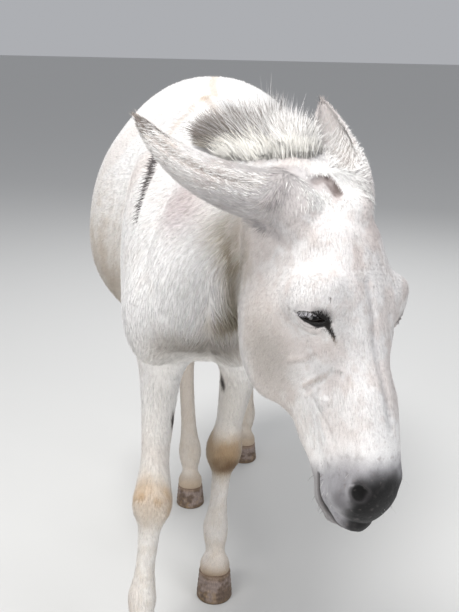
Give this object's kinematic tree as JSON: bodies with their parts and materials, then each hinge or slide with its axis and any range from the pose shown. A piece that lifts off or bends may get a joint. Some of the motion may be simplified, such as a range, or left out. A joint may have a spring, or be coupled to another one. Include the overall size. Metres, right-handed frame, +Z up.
{
  "type": "standing donkey",
  "caption": "Life-size standing white donkey, head turned to its left and carried low, long ears swept out and back, upright mane, thin tail with a switch; a still display model.",
  "frame": {"origin": "middle of the bounding box in plan, on the ground under the hooves", "axes": "the animal faces -Y, its own left side is +X, +Z is up"},
  "size_m": [0.6074, 1.5198, 1.1056],
  "materials": {
    "coat": "dense short white hair, softly mottled with pinkish grey and tan",
    "coat_head": "very short white hair, dark grey skin at the nostrils and lips",
    "mane": "stiff upright hair, white at the poll and grey-brown toward the withers",
    "ear": "soft grey and white hair with a long pale fringe",
    "eye": "wet dark brown eyeball",
    "horn": "dull brown-grey hoof horn, dusty"
  },
  "bodies": {
    "root": {"ear_left": "ear", "ear_right": "ear", "eye_left": "eye", "eye_right": "eye", "foreleg_left": "coat", "foreleg_right": "coat", "head": "coat_head", "hindleg_left": "coat", "hindleg_right": "coat", "hoof_fore_left": "horn", "hoof_fore_right": "horn", "hoof_hind_left": "horn", "hoof_hind_right": "horn", "mane": "mane", "neck": "coat", "tail": "coat", "trunk": "coat"}
  },
  "joints": []
}
